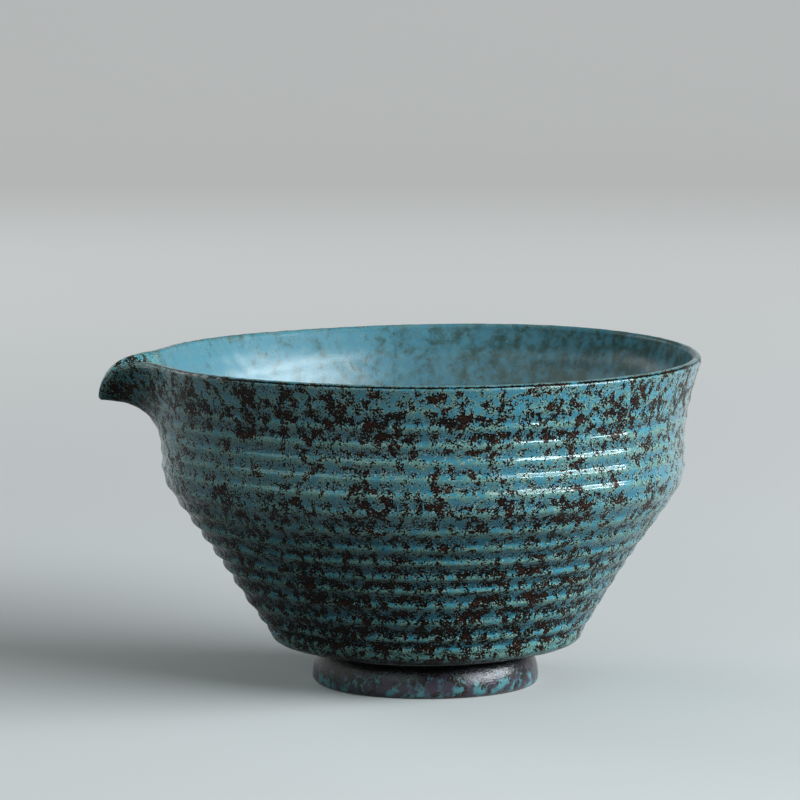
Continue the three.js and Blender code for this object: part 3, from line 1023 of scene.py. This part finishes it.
class Lamp(NamedTuple):
    """A soft rectangular lamp that looks at the pot. Power names the setting with its watts. The azimuth is
    from the front towards +X and the elevation above the table, both in degrees, and the rest in metres."""

    name: str
    power: str
    azimuth: float
    elevation: float
    distance: float
    width: float
    height: float
    tint: tuple


LAMPS = (
    Lamp("window_right", "window_power", 67, 16, 1.25, 1.32, 0.13, (0.84, 0.94, 1.0)),
    Lamp("window_left", "fill_power", -54, 27, 1.25, 2.0, 0.30, (0.76, 1.0, 0.98)),
    Lamp("sky_right", "sky_power", 62, 30, 1.3, 1.5, 0.35, (0.93, 0.99, 1.0)),
    Lamp("window_behind", "back_power", -128, 30, 1.4, 0.9, 0.5, (0.94, 0.98, 1.0)),
    Lamp("lamp_overhead", "top_power", 0, 90, 1.4, 1.2, 1.2, (1.0, 1.0, 1.0)),
)


def add_lamp(row, watts, target):
    """Puts a lamp of the table in its place."""
    lamp = bpy.data.lights.new(row.name, "AREA")
    lamp.shape = "RECTANGLE"
    lamp.size = row.width
    lamp.size_y = row.height
    lamp.energy = watts
    lamp.color = row.tint
    azimuth = math.radians(row.azimuth)
    elevation = math.radians(row.elevation)
    level = math.cos(elevation)
    towards = Vector((math.sin(azimuth) * level, -math.cos(azimuth) * level, math.sin(elevation)))
    holder = bpy.data.objects.new(row.name, lamp)
    holder.matrix_world = aim(Vector(target) + row.distance * towards, target)
    holder.visible_camera = False
    bpy.context.scene.collection.objects.link(holder)


def floor_finish(stage):
    """A floor that looks pale and throws less light back on the pot than it shows."""
    f = Finish("pale_floor")
    path = f.node("ShaderNodeLightPath", output="Is Camera Ray")
    glossy = f.node("ShaderNodeLightPath", output="Is Glossy Ray")
    through = f.node("ShaderNodeLightPath", output="Is Transmission Ray")
    seen = path + glossy + through
    base = f.mix(seen, tuple(stage.floor_cast), tuple(stage.floor_seen))
    lit = f.node("ShaderNodeBsdfDiffuse", sockets={"Color": base})
    away = f.node("ShaderNodeVectorMath", {"operation": "LENGTH"}, {0: f.place()}, output="Value")
    far = f.ease(away, stage.floor_near, stage.floor_far)
    glow = f.node("ShaderNodeEmission", sockets={"Color": opaque(stage.floor_glow), "Strength": seen * far})
    return f.end(f.node("ShaderNodeAddShader", sockets={0: lit, 1: glow}))


# Operators


class PITCHER_OT_set_stage(Operator):
    """Sets up the pale floor, the lamps, the camera and the picture's colours"""

    bl_idname = "pitcher.set_stage"
    bl_label = "Set the stage"

    def execute(self, context):
        scene = context.scene
        stage = scene.pitcher_stage
        middle = (AXIS, 0.0, scene.pitcher_pot.rim_height * stage.aim_share)
        for row in LAMPS:
            add_lamp(row, getattr(stage, row.power), middle)
        world = bpy.data.worlds.new("studio_air")
        world.use_nodes = True
        background = world.node_tree.nodes["Background"]
        background.inputs["Color"].default_value = (1.0, 1.0, 1.0, 1.0)
        background.inputs["Strength"].default_value = stage.ambient
        scene.world = world
        self.add_floor(stage)
        self.add_camera(scene, stage)
        scene.view_settings.view_transform = "Standard"
        return {"FINISHED"}

    def add_floor(self, stage):
        points = dish(stage.floor_flat, stage.floor_curve, stage.floor_wall, rows=24, columns=96)
        index = np.arange(points.shape[0] * points.shape[1]).reshape(points.shape[:2])
        index[0] = 0
        index = np.concatenate([index, index[:, :1]], axis=1)
        mesh = bpy.data.meshes.new("floor")
        fan = quads(index[:2])[:, [0, 3, 2]]
        faces = fan.tolist() + quads(index[1:])[:, ::-1].tolist()
        mesh.from_pydata(points.reshape(-1, 3).tolist(), [], faces)
        mesh.polygons.foreach_set("use_smooth", np.ones(len(mesh.polygons), bool))
        mesh.materials.append(floor_finish(stage))
        floor = bpy.data.objects.new("floor", mesh)
        bpy.context.scene.collection.objects.link(floor)

    def add_camera(self, scene, stage):
        camera = bpy.data.cameras.new("camera")
        camera.sensor_width = 36.0
        camera.lens = stage.lens
        heading = stage.camera_turn
        place = Vector((
            AXIS - stage.camera_distance * math.sin(heading),
            -stage.camera_distance * math.cos(heading),
            stage.camera_height,
        ))
        heading -= stage.camera_yaw
        level = math.cos(stage.camera_pitch)
        forward = Vector((
            math.sin(heading) * level,
            math.cos(heading) * level,
            -math.sin(stage.camera_pitch),
        ))
        holder = bpy.data.objects.new("camera", camera)
        holder.matrix_world = aim(place, place + forward)
        scene.collection.objects.link(holder)
        scene.camera = holder


def pot_settings(scene):
    """The settings that the pot's skin is made from."""
    shapes = scene.pitcher_pot, scene.pitcher_spout, scene.pitcher_foot
    return *shapes, scene.pitcher_detail, scene.pitcher_flow


def pot_glaze(scene):
    """The glaze that the bowl and the spout share."""
    found = bpy.data.materials.get("speckled_turquoise")
    return found or glaze("speckled_turquoise", scene.pitcher_glaze)


class PITCHER_OT_throw_bowl(Operator):
    """Makes the thrown bowl, with the notch that takes the spout"""

    bl_idname = "pitcher.throw_bowl"
    bl_label = "Throw the bowl"

    def execute(self, context):
        points, normals, looks, patch = pot_skin(*pot_settings(context.scene))
        index = skin_index(points.shape[:2])
        outside = np.ones((index.shape[0] - 1, index.shape[1] - 1), bool)
        rows, columns = patch
        outside[rows.start : rows.stop - 1, columns.start : columns.stop - 1] = False
        skin = quads(index)[outside.ravel()]
        cuts = cut_faces(index[patch])[:, ::-1]
        material = pot_glaze(context.scene)
        make_piece("glazed_bowl", points, normals, looks, skin, cuts, material, "bowl")
        return {"FINISHED"}


class PITCHER_OT_pull_spout(Operator):
    """Makes the beak-shaped spout that fills the notch"""

    bl_idname = "pitcher.pull_spout"
    bl_label = "Pull the spout"

    def execute(self, context):
        points, normals, looks, patch = pot_skin(*pot_settings(context.scene))
        index = skin_index(points.shape[:2])[patch]
        skin = quads(index)
        cuts = cut_faces(index)
        material = pot_glaze(context.scene)
        make_piece("glazed_spout", points, normals, looks, skin, cuts, material, "spout")
        return {"FINISHED"}


class PITCHER_OT_turn_foot(Operator):
    """Makes the foot ring under the bowl"""

    bl_idname = "pitcher.turn_foot"
    bl_label = "Turn the foot ring"

    def execute(self, context):
        foot = context.scene.pitcher_foot
        detail = context.scene.pitcher_detail
        points, looks = foot_skin(foot, detail, context.scene.pitcher_pot.lean)
        index = np.arange(points.shape[0] * points.shape[1]).reshape(points.shape[:2])
        index = np.concatenate([index, index[:, :1]], axis=1)
        index = np.concatenate([index, index[:1]], axis=0)
        across = np.roll(points, -1, axis=1) - np.roll(points, 1, axis=1)
        along = np.roll(points, -1, axis=0) - np.roll(points, 1, axis=0)
        normals = np.cross(across, along)
        normals /= np.linalg.norm(normals, axis=-1, keepdims=True)
        skin = quads(index)
        material = foot_glaze("iron_violet", context.scene.pitcher_glaze)
        make_piece("glazed_foot_ring", points, normals, looks, skin, [], material, "foot_ring")
        return {"FINISHED"}


class PITCHER_PT_panel(Panel):
    """Lists the pitcher's sizes and colours, and the steps that build it"""

    bl_label = "Tea pitcher"
    bl_idname = "PITCHER_PT_panel"
    bl_space_type = "VIEW_3D"
    bl_region_type = "UI"
    bl_category = "Pitcher"

    def draw(self, context):
        layout = self.layout
        for name in SETTINGS:
            group = getattr(context.scene, name)
            box = layout.box()
            box.label(text=group.bl_rna.description)
            for key in group.__annotations__:
                box.prop(group, key)
        for step in STEPS:
            layout.operator(step.bl_idname)


SETTINGS = {
    "pitcher_pot": PotShape,
    "pitcher_spout": SpoutShape,
    "pitcher_foot": FootShape,
    "pitcher_detail": MeshDetail,
    "pitcher_flow": GlazeFlow,
    "pitcher_glaze": GlazeLook,
    "pitcher_stage": StageSettings,
}
STEPS = (PITCHER_OT_set_stage, PITCHER_OT_throw_bowl, PITCHER_OT_pull_spout, PITCHER_OT_turn_foot)


def register():
    for group in SETTINGS.values():
        bpy.utils.register_class(group)
    for step in (*STEPS, PITCHER_PT_panel):
        bpy.utils.register_class(step)
    for name, group in SETTINGS.items():
        setattr(bpy.types.Scene, name, PointerProperty(type=group))


def unregister():
    for name in SETTINGS:
        delattr(bpy.types.Scene, name)
    for step in (*STEPS, PITCHER_PT_panel, *SETTINGS.values()):
        bpy.utils.unregister_class(step)


def main():
    register()
    bpy.ops.pitcher.set_stage()
    bpy.ops.pitcher.throw_bowl()
    bpy.ops.pitcher.pull_spout()
    bpy.ops.pitcher.turn_foot()


if __name__ == "__main__":
    main()
